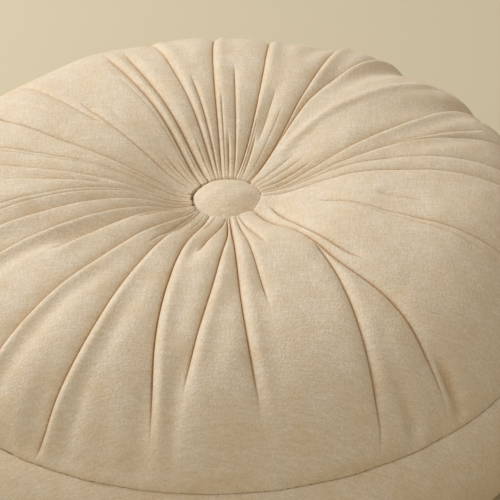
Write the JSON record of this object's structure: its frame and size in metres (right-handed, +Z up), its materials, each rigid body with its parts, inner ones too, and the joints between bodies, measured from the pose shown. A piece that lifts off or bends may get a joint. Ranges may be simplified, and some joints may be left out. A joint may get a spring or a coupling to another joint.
{
  "type": "round gathered seat cushion",
  "caption": "Thick round reversible velvet seat cushion, gathered to a covered button at the centre of each face, with a plain side band.",
  "frame": {"origin": "middle of the flat ring that the cushion rests on, on the cushion's axis", "axes": "+Z up along the cushion's axis; the side band's join is on the -Y side and the hand-sewn closing on the +Y side"},
  "size_m": [0.4, 0.4, 0.158],
  "materials": {
    "velvet": "short-pile cream velvet, matt with a soft sheen",
    "thread": "polyester sewing thread, darker than the velvet",
    "lining": "plain-woven cotton lining",
    "fill": "hollow-fibre polyester wadding",
    "cord": "waxed braided tufting cord",
    "button_metal": "pressed sheet",
    "shank_wire": "drawn wire"
  },
  "bodies": {
    "root": {"top_panel": "velvet", "bottom_panel": "velvet", "side_band": "velvet", "top_seam_thread": "thread", "bottom_seam_thread": "thread", "band_join_thread": "thread", "closing_stitches": "thread", "top_gather_thread": "thread", "bottom_gather_thread": "thread", "top_button_cover": "velvet", "top_button_shell": "button_metal", "top_button_back": "button_metal", "top_button_shank": "shank_wire", "bottom_button_cover": "velvet", "bottom_button_shell": "button_metal", "bottom_button_back": "button_metal", "bottom_button_shank": "shank_wire", "tufting_cord": "cord", "lining_top": "lining", "lining_bottom": "lining", "lining_thread": "thread", "fibre_fill": "fill"}
  },
  "joints": []
}
